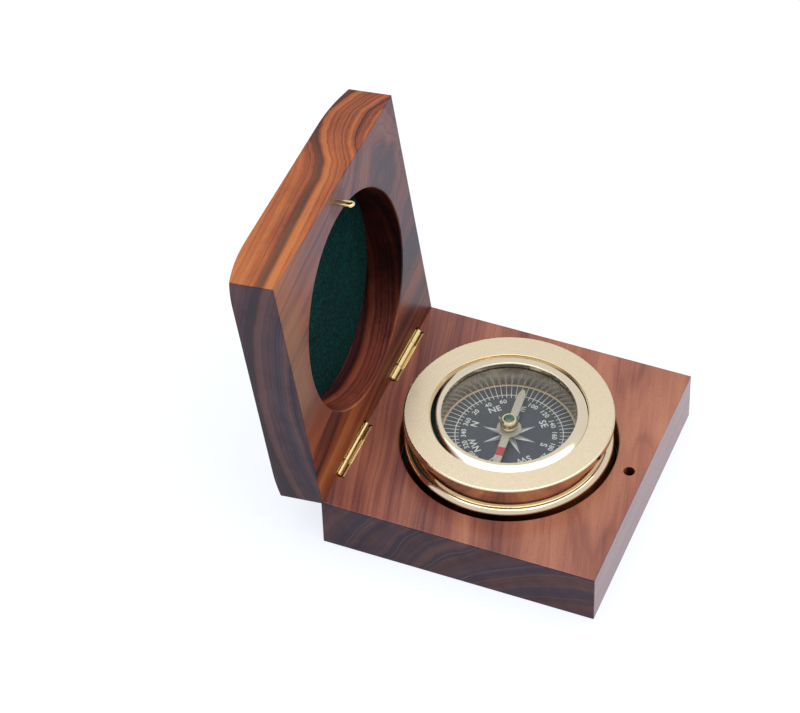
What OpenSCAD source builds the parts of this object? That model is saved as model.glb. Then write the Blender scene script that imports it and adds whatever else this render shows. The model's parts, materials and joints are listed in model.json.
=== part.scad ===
// Paperweight compass: a heavy round brass compass that lies in a hinged rosewood box.
// Origin: centre of the box's underside. +Z is up, the hinges are at the back (+Y),
// the catch is at the front (-Y). The lid is drawn open, leaning on its stop.

/* [Box] */
// Wood between the compass recess and the left and right faces
side_wall = 12.5; // [8:0.1:20]
// Wood between the compass recess and the front and back faces
end_wall = 11.4; // [9:0.1:20]
// Wood under the recess in the base
base_floor = 7; // [4:0.1:12]
// Depth of the recess in the base
base_recess_depth = 13.2; // [9:0.1:18]
// Wood over the recess in the lid
lid_roof = 5.7; // [3:0.1:10]
// Radius of the curve in which the lid's outer face falls off towards its edges
lid_crown_r = 65; // [50:1:150]
// Width of that curve along the left and right edges
lid_crown_side = 20; // [8:0.5:24]
// Width of that curve along the front and back edges
lid_crown_front = 11.5; // [6:0.5:20]
// Easing of the outer edges
edge_ease = 0.45; // [0.2:0.05:1.5]
// Chamfer round the mouth of each recess
mouth_ease = 0.35; // [0.1:0.05:0.8]
// Gap between the closed lid and the base
joint_gap = 0.1; // [0.05:0.01:0.4]
// Free play between the compass and the wall of the base recess
base_play = 1.7; // [0.8:0.1:4]
// Free play between the compass flange and the wall of the lid recess
lid_play = 2.15; // [1.5:0.05:5]
// Air between the compass and the felt of the closed lid
lid_headroom = 0.5; // [0.3:0.1:3]

/* [Felt] */
// Thickness of the green felt discs
felt_t = 0.9; // [0.5:0.1:2]
// Bare margin round a felt disc
felt_margin = 0.3; // [0.1:0.1:1.5]
// Thickness of the felt under the compass
pad_t = 1; // [0.5:0.1:2]

/* [Hinges] */
// Length of a hinge
hinge_len = 25.4; // [18:0.2:34]
// Distance between the middles of the two hinges
hinge_spacing = 48.8; // [40:0.2:60]
// Distance of the hinge pin from the back faces
hinge_inset = 0.7; // [0.4:0.1:2]
// Outer diameter of the rolled knuckles
knuckle_d = 2.5; // [2.2:0.1:3.2]
// Sheet thickness of the leaves
leaf_t = 0.55; // [0.4:0.05:0.7]
// Distance of a leaf's inner face from the pin
leaf_set = 2.3; // [2.1:0.1:3]
// Height of a leaf, from the pin to its edge in the wood
leaf_h = 9; // [7:0.1:11]
// Length of the middle knuckle
mid_knuckle_len = 12.2; // [8:0.1:15]
// Gap between neighbouring knuckles
knuckle_gap = 0.15; // [0.05:0.01:0.3]
// Width of the seam where the rolled sheet meets its leaf
seam_w = 0.12; // [0.05:0.01:0.2]
// Clearance of the hinge pin in the knuckle that turns on it
pin_play = 0.05; // [0.02:0.01:0.1]
// Clearance between a knuckle and the floor of its mortise
knuckle_room = 0.1; // [0.05:0.05:0.5]
// Wood cut away beyond each end of a hinge
end_room = 0.5; // [0.3:0.05:1]
// Angle between the closed and the open lid
lid_open = 97.5; // [90:0.5:110]
// Gap at the stop between the two back chamfers of the open lid
stop_gap = 0.04; // [0.02:0.01:0.1]

/* [Hinge tacks] */
// Shank diameter of a tack
tack_d = 1.2; // [0.8:0.1:1.6]
// Length of a tack
tack_len = 8; // [5:0.1:9]
// Head diameter of a tack
tack_head_d = 2.2; // [1.8:0.1:2.8]
// Head thickness of a tack
tack_head_t = 0.4; // [0.2:0.05:0.8]
// Distance of the tacks from the hinge pin
tack_drop = 5.6; // [4:0.1:6]
// Distance between the two tacks of a leaf
tack_spacing = 17; // [10:0.2:18]

/* [Catch] */
// Distance of the catch from the front faces
catch_inset = 5.5; // [4:0.1:8]
// Wire diameter of the catch loop
catch_wire_d = 1.1; // [0.8:0.05:1.4]
// Distance between the middles of the two legs
catch_leg_gap = 2; // [1.6:0.1:2.6]
// Length of the loop that stands out of the lid
catch_proud = 6.5; // [4:0.1:9]
// Length of the legs in the wood of the lid
catch_root = 7; // [4:0.1:10]
// Room between the loop and the wall of its hole
catch_room = 0.25; // [0.2:0.05:0.6]
// Room under the loop in its hole
catch_end_room = 2; // [0.5:0.1:4]

/* [Compass body] */
// Height of the whole compass with its felt
compass_h = 25.4; // [22:0.1:32]
// Diameter of the top flange
flange_d = 73.2; // [70:0.1:84]
// Thickness of the top flange
flange_t = 2.9; // [1.5:0.1:5]
// Rounding of the flange's edge
flange_edge_r = 0.5; // [0.2:0.05:1]
// Diameter of the waist
waist_d = 68.6; // [64:0.1:69.8]
// Fillet between the waist and its neighbours
waist_fillet = 0.6; // [0.2:0.1:1]
// Diameter of the foot
foot_d = 73.2; // [70:0.1:84]
// Height of the foot's top above the underside
foot_h = 14.9; // [10:0.1:17]
// Rounding of the foot's lower edge
foot_edge_r = 1.2; // [0.4:0.1:2]
// Distance of the felt from the foot's edge
pad_inset = 2.6; // [2.1:0.1:6]

/* [Dial, glass and bezel] */
// Diameter of the chamber that holds dial, wall ring and glass
chamber_d = 51.2; // [48:0.1:53]
// Thickness of the wall ring
ring_t = 2; // [1:0.1:3]
// Thickness of the dial plate
dial_t = 0.8; // [0.4:0.1:1.5]
// Thickness of the glass
glass_t = 1.5; // [1:0.1:2.5]
// Distance from the flange's top down to the glass
glass_depth = 1.6; // [1.2:0.05:2.4]
// Width of the bezel ring
bezel_w = 4; // [3.4:0.1:5]
// How far the bezel laps over the glass
bezel_lip = 2.1; // [0.8:0.1:2.6]
// How far the bezel reaches down beside the glass
bezel_skirt = 1.3; // [0.8:0.1:1.8]
// Height of the bezel's crest above the flange
bezel_rise = 0.1; // [0:0.05:0.4]
// Radius of the bezel's rounded top
bezel_top_r = 5.5; // [4:0.1:9]
// Distance of the bezel's crest from its inner edge
bezel_crest = 1.1; // [0.6:0.1:2]
// Rounding of the bezel's inner edge
bezel_edge_r = 0.4; // [0.1:0.05:0.6]
// Width of the groove between bezel and flange
bezel_groove = 0.45; // [0.2:0.05:1]
// Depth of that groove
groove_depth = 0.9; // [0.6:0.05:1.2]
// Clearance of pieces that are fitted tight
snug = 0.02; // [0.01:0.01:0.05]

/* [Needle] */
// Length of the needle
needle_len = 37.6; // [28:0.2:42]
// Width of the blade
needle_w = 2.8; // [2:0.1:4]
// Length of each pointed end
needle_point = 4.2; // [2:0.1:6]
// Width of the blunt tips
needle_tip = 1.1; // [0.4:0.1:1.6]
// Diameter of the blade's round hub
hub_d = 8.6; // [7:0.1:10]
// Thickness of the blade
blade_t = 0.4; // [0.2:0.05:0.8]
// Height of the blade above the dial
needle_lift = 3; // [1.5:0.1:5]
// Direction of the needle's plain end, counted from +X towards +Y
needle_angle = 5; // [-180:1:180]
// Largest diameter of the cap
cap_d = 6.5; // [5.8:0.1:7.4]
// Height of the cap above the blade
cap_h = 4.75; // [4.2:0.05:7]
// Height of the cap's foot, which stands on the blade
cap_foot_h = 0.9; // [0.4:0.05:1.4]
// Diameter of the cap's foot
cap_foot_d = 4.6; // [4.2:0.1:5.4]
// Height of the bead above the foot
bead_h = 0.95; // [0.6:0.05:1.2]
// Diameter of the bead
bead_d = 6.1; // [5.2:0.1:7]
// Width of the groove between bead and crown
cap_groove = 0.3; // [0.15:0.05:0.5]
// Brass left round the jewel on top of the cap
cap_rim = 0.45; // [0.3:0.05:0.8]
// Diameter of the cap's neck in the blade
neck_d = 3.8; // [3.2:0.1:4]
// Width and thickness of the neck's riveted rim
rivet = 0.25; // [0.15:0.05:0.4]
// Diameter of the jewel
jewel_d = 3.9; // [3:0.1:4.4]
// Depth of the jewel in the cap
jewel_t = 1.6; // [1.3:0.1:2.2]
// Height of the jewel's dome above the cap
jewel_dome = 0.3; // [0.1:0.05:0.6]
// Air between the jewel and the glass
needle_headroom = 0.28; // [0.2:0.02:1]
// Diameter of the pivot post
pivot_d = 1.6; // [1.2:0.1:2]
// Depth of the pivot post in the body
pivot_root = 3; // [1:0.1:6]
// Height of the pivot's cone
pivot_cone_h = 2; // [1.5:0.1:3]
// Radius of the pivot's point
pivot_point_r = 0.05; // [0.03:0.01:0.1]
// Gap between the pivot's point and the cup of the jewel
pivot_gap = 0.1; // [0.05:0.01:0.15]
// Depth of the conical cup in the jewel
cup_h = 0.8; // [0.5:0.05:1]
// Diameter of that cup
cup_d = 1.8; // [1:0.1:2.2]
// Room round the pivot post in the cap
pivot_room = 0.35; // [0.2:0.05:0.5]

/* [Hidden] */
$fn = 96;
over = 1;

rosewood = [0.46, 0.24, 0.18];
felt_green = [0.02, 0.24, 0.18];
brass = [0.85, 0.72, 0.42];
pale_brass = [0.86, 0.78, 0.58];
dial_black = [0.10, 0.11, 0.13];
steel = [0.72, 0.72, 0.74];
ivory = [0.82, 0.79, 0.72];
jewel_green = [0.05, 0.45, 0.30];

// Radii and heights of the compass, counted from its own underside
flange_r = flange_d / 2;
waist_r = waist_d / 2;
foot_r = foot_d / 2;
chamber_r = chamber_d / 2;
ring_inner_r = chamber_r - ring_t;
bezel_inner_r = chamber_r - bezel_lip;
bezel_outer_r = bezel_inner_r + bezel_w;
skirt_r = chamber_r + 2 * snug;
chamber_h = needle_lift + blade_t + cap_h + jewel_dome + needle_headroom;
glass_top = compass_h - glass_depth;
glass_bottom = glass_top - glass_t;
dial_top = glass_bottom - chamber_h;
dial_seat = dial_top - dial_t;
bezel_seat = glass_top - bezel_skirt;

// The box follows the compass
base_recess_r = foot_r + base_play;
lid_recess_r = flange_r + lid_play;
recess_r = max(base_recess_r, lid_recess_r - lid_play + base_play);
box_w = 2 * (recess_r + side_wall);
box_d = 2 * (recess_r + end_wall);
base_h = base_floor + base_recess_depth;
compass_z = base_floor + felt_t;
compass_proud = compass_z + compass_h - base_h;
lid_recess_depth = compass_proud - joint_gap + lid_headroom + felt_t;
lid_h = lid_recess_depth + lid_roof;
lid_z = base_h + joint_gap;
hinge_y = box_d / 2 - hinge_inset;
hinge_z = base_h + joint_gap / 2;

// Hinge
knuckle_r = knuckle_d / 2;
pin_r = knuckle_r - leaf_t - pin_play;
chamfer_angle = lid_open / 2;
pin_head_r = pin_r + 0.3;
pin_head_t = 0.2;

// Catch
catch_y = -box_d / 2 + catch_inset;
catch_wire_r = catch_wire_d / 2;
catch_bend_r = catch_leg_gap / 2;
catch_reach = hinge_y - catch_y;
// The loop swings in along an arc, which takes this much room in its hole
catch_swing = catch_proud * catch_proud / (2 * catch_reach);
catch_hole_r = catch_bend_r + catch_wire_r + catch_swing + catch_room;
catch_hole_depth = catch_proud + catch_end_room;

// Needle heights, counted from the dial
cap_bottom = needle_lift + blade_t;
cap_top = cap_bottom + cap_h;
jewel_bottom = cap_top - jewel_t;
bead_bottom = cap_bottom + cap_foot_h;
crown_bottom = bead_bottom + bead_h + cap_groove;
neck_bore_r = pivot_d / 2 + pivot_room;
pivot_tip = jewel_bottom + cup_h - pivot_gap;

// Turns closed-lid geometry about the hinge pin to the open pose
module open_lid() {
    translate([0, hinge_y, hinge_z])
        rotate([-lid_open, 0, 0])
            translate([0, -hinge_y, -hinge_z])
                children();
}

// Sets a piece down in the base recess
module in_recess() {
    translate([0, 0, compass_z]) children();
}

// Sets a piece down on the dial
module on_dial() {
    translate([0, 0, compass_z + dial_top]) children();
}

// Sweeps a profile drawn in Y and Z from x0 to x1
module along_x(x0, x1) {
    translate([x0, 0, 0]) rotate([90, 0, 90]) linear_extrude(x1 - x0) children();
}

// Sweeps a profile drawn in X and Z from y0 to y1
module along_y(y0, y1) {
    translate([0, y1, 0]) rotate([90, 0, 0]) linear_extrude(y1 - y0) children();
}

// What rounds off a profile's corner at x, y; sx and sy point into the profile
module corner_cut(x, y, r, sx, sy) {
    translate([x, y]) scale([sx, sy]) difference() {
        translate([-over, -over]) square(r + over);
        translate([r, r]) circle(r = r);
    }
}

// Rectangle of width w from z = 0 to h with its four corners eased
module eased_profile(w, h) {
    difference() {
        translate([-w / 2, 0]) square([w, h]);
        for (side = [-1, 1]) {
            corner_cut(side * w / 2, 0, edge_ease, -side, 1);
            corner_cut(side * w / 2, h, edge_ease, -side, -1);
        }
    }
}

// A box block of height h lying on z = 0 with eased edges
module wood_block(h) {
    intersection() {
        along_x(-box_w / 2 - over, box_w / 2 + over) eased_profile(box_d, h);
        along_y(-box_d / 2 - over, box_d / 2 + over) eased_profile(box_w, h);
        translate([0, -box_d / 2, -over])
            linear_extrude(h + 2 * over) eased_profile(box_w, box_d);
    }
}

// Rectangle of width w from z = 0 to lid_h whose top falls off in an arc over the
// width run on both sides
module crowned_profile(w, run) {
    intersection() {
        translate([-w / 2, 0]) square([w, lid_h]);
        union() {
            translate([run - w / 2, 0]) square([w - 2 * run, lid_h]);
            for (side = [-1, 1])
                translate([side * (w / 2 - run), lid_h - lid_crown_r])
                    circle(r = lid_crown_r, $fn = 360);
        }
    }
}

// The lid's block: flat in the middle, falling off to all four edges like a cushion
module lid_wood() {
    flat_x = box_w / 2 - lid_crown_side;
    flat_y = box_d / 2 - lid_crown_front;
    intersection() {
        wood_block(lid_h + edge_ease);
        union() {
            along_x(-flat_x, flat_x) crowned_profile(box_d, lid_crown_front);
            along_y(-flat_y, flat_y) crowned_profile(box_w, lid_crown_side);
            for (sx = [-1, 1], sy = [-1, 1])
                intersection() {
                    translate([sx * (flat_x + lid_crown_side / 2),
                               sy * (flat_y + lid_crown_front / 2), lid_h / 2])
                        cube([lid_crown_side, lid_crown_front, lid_h], center = true);
                    translate([sx * flat_x, sy * flat_y, lid_h - lid_crown_r])
                        rotate([90, 0, 0]) sphere(r = lid_crown_r, $fn = 360);
                }
        }
    }
}

// Back chamfer on which the open lid leans, seen from the base, about the pin
module stop_chamfer() {
    along_x(-box_w / 2 - over, box_w / 2 + over)
        rotate(-chamfer_angle)
            translate([-box_d / 4, -stop_gap / 2])
                square([box_d / 2, box_d / 4]);
}

// A round recess with an eased mouth, sunk from z = 0 downwards
module recess(r, depth) {
    translate([0, 0, -depth]) cylinder(h = depth + over, r = r);
    translate([0, 0, -mouth_ease])
        cylinder(h = mouth_ease + over, r1 = r, r2 = r + mouth_ease + over);
}

// Copies its children to the tack places of one leaf, about the pin
module at_tacks() {
    for (x = [-tack_spacing / 2, tack_spacing / 2])
        translate([x, hinge_inset, -tack_drop]) rotate([90, 0, 0]) children();
}

// Everything that is cut from the base for one hinge, about the pin
module hinge_mortise() {
    depth = knuckle_r + knuckle_room;
    along_x(-hinge_len / 2 - end_room, hinge_len / 2 + end_room)
        translate([-leaf_set - snug, -depth])
            square([leaf_set + hinge_inset + over, depth + over]);
    along_x(-hinge_len / 2 - snug, hinge_len / 2 + snug)
        translate([-leaf_set - snug, -leaf_h])
            square([leaf_t + 2 * snug, leaf_h]);
    at_tacks() {
        translate([0, 0, -over]) cylinder(h = tack_len + over, r = tack_d / 2 + snug);
        translate([0, 0, -over])
            cylinder(h = tack_head_t + over, r = tack_head_d / 2 + snug);
    }
}

// Copies hinge pieces to the left (-1) or right (1) hinge of the closed box
module at_hinge(side) {
    translate([side * hinge_spacing / 2, hinge_y, hinge_z]) children();
}

module base_block() {
    color(rosewood) difference() {
        wood_block(base_h);
        translate([0, 0, base_h]) recess(base_recess_r, base_recess_depth);
        translate([0, hinge_y, hinge_z]) stop_chamfer();
        for (side = [-1, 1]) at_hinge(side) hinge_mortise();
        translate([0, catch_y, base_h - catch_hole_depth])
            cylinder(h = catch_hole_depth + over, r = catch_hole_r);
    }
}

module lid_block() {
    color(rosewood) open_lid() difference() {
        translate([0, 0, lid_z]) lid_wood();
        translate([0, 0, lid_z]) mirror([0, 0, 1]) recess(lid_recess_r, lid_recess_depth);
        translate([0, hinge_y, hinge_z]) mirror([0, 0, 1]) stop_chamfer();
        for (side = [-1, 1]) at_hinge(side) mirror([0, 0, 1]) hinge_mortise();
        for (x = [-catch_bend_r, catch_bend_r])
            translate([x, catch_y, lid_z - over])
                cylinder(h = catch_root + over, r = catch_wire_r + snug);
    }
}

// A disc of felt glued to the floor of a recess
module felt_disc(r) {
    cylinder(h = felt_t, r = r - felt_margin);
}

module base_felt() {
    color(felt_green) translate([0, 0, base_floor]) felt_disc(base_recess_r);
}

module lid_felt() {
    color(felt_green) open_lid()
        translate([0, 0, lid_z + lid_recess_depth - felt_t]) felt_disc(lid_recess_r);
}

// Profile of a leaf's flat part, from its edge in the wood up to the height top
module leaf_profile(top) {
    translate([-leaf_set, -leaf_h]) square([leaf_t, leaf_h + top]);
}

// Profile where the leaf bends over and is rolled into a knuckle round a bore
module knuckle_profile(bore_r) {
    bend_top = leaf_t - knuckle_r;
    difference() {
        union() {
            circle(r = knuckle_r);
            translate([-leaf_set, -knuckle_r]) square([leaf_set, leaf_t]);
            leaf_profile(bend_top);
        }
        circle(r = bore_r);
        corner_cut(-leaf_set, bend_top, leaf_t, 1, -1);
        translate([-knuckle_r - over, bend_top]) square([knuckle_r + over, seam_w]);
    }
}

module tack_holes() {
    at_tacks() cylinder(h = tack_len, r = tack_d / 2 + snug);
}

// Base leaf about the pin: one knuckle in the middle
module base_leaf() {
    half = mid_knuckle_len / 2;
    difference() {
        union() {
            along_x(-half, half) knuckle_profile(pin_r + pin_play);
            along_x(-hinge_len / 2, -half) leaf_profile(-joint_gap / 2);
            along_x(half, hinge_len / 2) leaf_profile(-joint_gap / 2);
        }
        tack_holes();
    }
}

// Lid leaf about the pin, before it is turned upside down: a knuckle at each end
module lid_leaf() {
    half = mid_knuckle_len / 2 + knuckle_gap;
    difference() {
        union() {
            along_x(-half, half) leaf_profile(-joint_gap / 2);
            along_x(-hinge_len / 2, -half) knuckle_profile(pin_r + snug);
            along_x(half, hinge_len / 2) knuckle_profile(pin_r + snug);
        }
        tack_holes();
    }
}

// Pin with its two peened ends, about its own axis
module hinge_pin() {
    rotate([0, 90, 0]) {
        cylinder(h = hinge_len, r = pin_r, center = true);
        for (end = [-1, 1])
            translate([0, 0, end * (hinge_len + pin_head_t) / 2])
                cylinder(h = pin_head_t, r = pin_head_r, center = true);
    }
}

// The two tacks of one leaf, driven in from the back face
module leaf_tacks() {
    at_tacks() {
        cylinder(h = tack_len, r = tack_d / 2);
        cylinder(h = tack_head_t, r = tack_head_d / 2);
    }
}

module base_hinge_leaf_left() {
    color(brass) at_hinge(-1) base_leaf();
}

module base_hinge_leaf_right() {
    color(brass) at_hinge(1) base_leaf();
}

module base_hinge_tacks() {
    color(brass) for (side = [-1, 1]) at_hinge(side) leaf_tacks();
}

module lid_hinge_leaf_left() {
    color(brass) open_lid() at_hinge(-1) mirror([0, 0, 1]) lid_leaf();
}

module lid_hinge_leaf_right() {
    color(brass) open_lid() at_hinge(1) mirror([0, 0, 1]) lid_leaf();
}

module lid_hinge_tacks() {
    color(brass) open_lid()
        for (side = [-1, 1]) at_hinge(side) mirror([0, 0, 1]) leaf_tacks();
}

module hinge_pin_left() {
    color(brass) open_lid() at_hinge(-1) hinge_pin();
}

module hinge_pin_right() {
    color(brass) open_lid() at_hinge(1) hinge_pin();
}

// Bent wire: two legs in the lid and a half-round bend that enters the base
module catch_loop() {
    bend_z = lid_z - catch_proud + catch_bend_r + catch_wire_r;
    color(brass) open_lid() translate([0, catch_y, 0]) {
        for (x = [-catch_bend_r, catch_bend_r])
            translate([x, 0, bend_z])
                cylinder(h = lid_z + catch_root - bend_z, r = catch_wire_r);
        translate([0, 0, bend_z])
            rotate([-90, 0, 0])
                rotate_extrude(angle = 180)
                    translate([catch_bend_r, 0]) circle(r = catch_wire_r);
    }
}

// Half section of the turned body, in radius and height
module body_section() {
    difference() {
        union() {
            translate([0, pad_t]) square([foot_r, foot_h - pad_t]);
            translate([0, foot_h - over]) square([waist_r, compass_h - foot_h]);
            translate([0, compass_h - flange_t]) square([flange_r, flange_t]);
            translate([waist_r, foot_h]) cove(1);
            translate([waist_r, compass_h - flange_t]) cove(-1);
        }
        corner_cut(foot_r, pad_t, foot_edge_r, -1, 1);
        corner_cut(foot_r, foot_h, foot_r - waist_r, -1, -1);
        corner_cut(flange_r, compass_h, flange_edge_r, -1, -1);
        translate([-over, dial_seat]) square([chamber_r + snug + over, compass_h]);
        translate([-over, bezel_seat]) square([bezel_outer_r + snug + over, compass_h]);
        translate([-over, compass_h - groove_depth])
            square([bezel_outer_r + bezel_groove + over, compass_h]);
    }
}

// Fillet between the waist and what stands out above or below it
module cove(up) {
    r = min(waist_fillet, 0.4 * (flange_r - waist_r));
    scale([1, up]) difference() {
        translate([-over, 0]) square([r + over, r]);
        translate([r, r]) circle(r = r);
    }
}

module compass_body() {
    color(brass) in_recess() difference() {
        rotate_extrude() body_section();
        translate([0, 0, dial_seat - pivot_root])
            cylinder(h = pivot_root + over, r = pivot_d / 2 + snug);
    }
}

module compass_felt_pad() {
    color(felt_green) in_recess() cylinder(h = pad_t, r = foot_r - pad_inset);
}

module dial_plate() {
    color(dial_black) in_recess() translate([0, 0, dial_seat]) difference() {
        cylinder(h = dial_t, r = chamber_r);
        translate([0, 0, -over]) cylinder(h = dial_t + 2 * over, r = pivot_d / 2 + snug);
    }
}

module pivot_post() {
    color(steel) on_dial() {
        translate([0, 0, -dial_t - pivot_root])
            cylinder(h = dial_t + pivot_root + pivot_tip - pivot_cone_h, r = pivot_d / 2);
        translate([0, 0, pivot_tip - pivot_cone_h])
            cylinder(h = pivot_cone_h, r1 = pivot_d / 2, r2 = pivot_point_r);
    }
}

module dial_wall_ring() {
    color(pale_brass) on_dial() difference() {
        cylinder(h = chamber_h, r = chamber_r);
        translate([0, 0, -over]) cylinder(h = chamber_h + 2 * over, r = ring_inner_r);
    }
}

module cover_glass() {
    color([0.8, 0.9, 0.9, 0.35]) in_recess()
        translate([0, 0, glass_bottom]) cylinder(h = glass_t, r = chamber_r);
}

// Half section of the bezel: a steep inner edge, a rounded top that falls off
// outwards, and a skirt beside the glass
module bezel_section() {
    crest_r = bezel_inner_r + bezel_crest;
    crest_z = compass_h + bezel_rise;
    difference() {
        intersection() {
            translate([crest_r, crest_z - bezel_top_r])
                circle(r = bezel_top_r, $fn = 180);
            translate([bezel_inner_r, glass_top]) square([bezel_w, crest_z]);
        }
        corner_cut(bezel_inner_r, crest_z, bezel_edge_r, 1, -1);
    }
    translate([skirt_r, bezel_seat]) square([bezel_outer_r - skirt_r, bezel_skirt]);
}

module bezel_ring() {
    color(brass) in_recess() rotate_extrude() bezel_section();
}

// Outline of the blade: parallel sides, curved points with blunt tips and a round hub
module blade_outline() {
    side_len = needle_len / 2 - needle_point;
    circle(r = hub_d / 2);
    square([2 * side_len, needle_w], center = true);
    for (end = [-1, 1])
        translate([end * side_len, 0]) scale([end, 1]) blade_point();
}

// One pointed end: each side is an arc that leaves the blade's side smoothly
module blade_point() {
    fall = (needle_w - needle_tip) / 2;
    arc_r = (needle_point * needle_point + fall * fall) / (2 * fall);
    intersection() {
        translate([0, -needle_w / 2]) square([needle_point, needle_w]);
        translate([0, needle_w / 2 - arc_r]) circle(r = arc_r, $fn = 180);
        translate([0, arc_r - needle_w / 2]) circle(r = arc_r, $fn = 180);
    }
}

module needle_blade() {
    color(ivory) on_dial() rotate([0, 0, needle_angle]) translate([0, 0, needle_lift])
        linear_extrude(blade_t) difference() {
            blade_outline();
            circle(r = neck_d / 2 + snug);
        }
}

// Half section of the turned cap: riveted neck, foot, bead, groove and round crown
module cap_section() {
    crown_r = jewel_d / 2 + cap_rim;
    bulge_z = crown_bottom + 0.35 * (cap_top - crown_bottom);
    fall = cap_d / 2 - crown_r;
    rise = cap_top - bulge_z;
    bulge_r = (fall * fall + rise * rise) / (2 * fall);
    difference() {
        union() {
            translate([0, needle_lift - rivet]) square([neck_d / 2 + rivet, rivet]);
            translate([0, needle_lift - rivet]) square([neck_d / 2, rivet + blade_t]);
            translate([0, cap_bottom]) square([cap_foot_d / 2, cap_h - rivet]);
            difference() {
                translate([0, bead_bottom]) square([bead_d / 2, bead_h]);
                corner_cut(bead_d / 2, bead_bottom, 0.45 * bead_h, -1, 1);
                corner_cut(bead_d / 2, bead_bottom + bead_h, 0.45 * bead_h, -1, -1);
            }
            intersection() {
                translate([0, crown_bottom]) square([cap_d, cap_top - crown_bottom]);
                translate([cap_d / 2 - bulge_r, bulge_z]) circle(r = bulge_r);
            }
        }
        translate([-over, 0]) square([neck_bore_r + over, cap_top]);
        translate([-over, jewel_bottom]) square([jewel_d / 2 + snug + over, jewel_t + over]);
    }
}

module needle_cap() {
    color(brass) on_dial() rotate_extrude() cap_section();
}

module needle_jewel() {
    dome_r = (jewel_d * jewel_d / 4 + jewel_dome * jewel_dome) / (2 * jewel_dome);
    color(jewel_green) on_dial() difference() {
        union() {
            translate([0, 0, jewel_bottom]) cylinder(h = jewel_t, r = jewel_d / 2);
            intersection() {
                translate([0, 0, cap_top]) cylinder(h = jewel_dome + over, r = jewel_d / 2);
                translate([0, 0, cap_top + jewel_dome - dome_r]) sphere(r = dome_r);
            }
        }
        translate([0, 0, jewel_bottom]) cylinder(h = cup_h, r1 = cup_d / 2, r2 = 0);
    }
}

base_block();
base_felt();
base_hinge_leaf_left();
base_hinge_leaf_right();
base_hinge_tacks();
lid_block();
lid_felt();
lid_hinge_leaf_left();
lid_hinge_leaf_right();
lid_hinge_tacks();
hinge_pin_left();
hinge_pin_right();
catch_loop();
compass_body();
compass_felt_pad();
dial_plate();
pivot_post();
dial_wall_ring();
cover_glass();
bezel_ring();
needle_blade();
needle_cap();
needle_jewel();
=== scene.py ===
import json
import math

import bmesh
import bpy
from mathutils import Matrix, Vector


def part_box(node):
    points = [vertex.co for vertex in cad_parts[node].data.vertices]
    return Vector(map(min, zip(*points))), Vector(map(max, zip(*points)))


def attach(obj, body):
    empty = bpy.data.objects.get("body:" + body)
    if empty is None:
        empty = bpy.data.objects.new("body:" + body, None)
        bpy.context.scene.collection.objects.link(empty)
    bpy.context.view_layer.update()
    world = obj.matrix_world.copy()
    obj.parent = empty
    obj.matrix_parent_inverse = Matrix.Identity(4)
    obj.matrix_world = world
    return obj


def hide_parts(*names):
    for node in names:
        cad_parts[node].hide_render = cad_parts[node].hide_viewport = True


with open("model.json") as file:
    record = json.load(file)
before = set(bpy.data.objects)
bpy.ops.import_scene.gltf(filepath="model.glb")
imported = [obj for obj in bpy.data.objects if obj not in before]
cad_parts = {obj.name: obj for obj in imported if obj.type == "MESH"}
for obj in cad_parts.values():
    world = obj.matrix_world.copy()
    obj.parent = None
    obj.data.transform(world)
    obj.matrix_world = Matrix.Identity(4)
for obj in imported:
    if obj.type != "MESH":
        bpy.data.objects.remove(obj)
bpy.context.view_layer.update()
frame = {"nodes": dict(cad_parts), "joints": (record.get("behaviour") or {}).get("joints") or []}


# The viewpoint: a long lens to the left of the open box, 46 degrees above the table. Its
# place, direction and length are solved from the box's corners and the round rims.
CAMERA_AT = (-0.73208, -0.27774, 0.86714)
CAMERA_AZIMUTH = math.radians(-66.52)
CAMERA_ELEVATION = math.radians(45.80)
CAMERA_ROLL = math.radians(-2.06)
CAMERA_LENS_MM = 148.97
SENSOR_MM = 36
NEAREST_SEEN = 0.01

turned = (Matrix.Rotation(CAMERA_AZIMUTH, 3, "Z")
          @ Matrix.Rotation(math.pi / 2 - CAMERA_ELEVATION, 3, "X")
          @ Matrix.Rotation(CAMERA_ROLL, 3, "Z"))
bpy.ops.object.camera_add(location=CAMERA_AT, rotation=turned.to_euler())
camera = bpy.context.object
camera.data.lens = CAMERA_LENS_MM
camera.data.sensor_width = SENSOR_MM
camera.data.sensor_fit = "HORIZONTAL"
camera.data.clip_start = NEAREST_SEEN
bpy.context.scene.camera = camera
bpy.context.scene.view_settings.view_transform = "Standard"


# The table and the light: a white table top under one wide soft box, in a white room.
# What the metal and the varnish mirror is that same white room and table.
TABLE_SIZE = 6
TABLE_GREY = (0.8, 0.8, 0.8)
SEEN_TABLE_GREY = (0.3, 0.3, 0.3)
SEEN_TABLE_LIGHT = (0.76, 0.79, 0.84)
SOFT_BOX_AT = (0.0, -0.12, 1.1)
SOFT_BOX_SIZE = 1.3
SOFT_BOX_WATTS = 8.5
ROOM_WHITE = (0.97, 0.985, 1)
ROOM_LIGHT = 0.5
ROOM_MIRRORED = 0.84


def put(tree, kind, inputs=None, **settings):
    """Adds a node; a socket given as an input's value is linked to it."""
    node = tree.nodes.new(kind)
    for name, value in settings.items():
        setattr(node, name, value)
    for name, value in (inputs or {}).items():
        if isinstance(value, bpy.types.NodeSocket):
            tree.links.new(value, node.inputs[name])
        else:
            node.inputs[name].default_value = value
    return node


def math_of(tree, operation, first, second=0.0, third=0.0):
    """One sum on sockets and numbers."""
    return put(tree, "ShaderNodeMath", {0: first, 1: second, 2: third},
               operation=operation).outputs[0]


def opaque(colour):
    """A colour with its alpha."""
    return tuple(colour) + (1,)


def deselect():
    """Leaves nothing selected, so that an operator acts on the new piece only."""
    bpy.ops.object.select_all(action="DESELECT")


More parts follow.
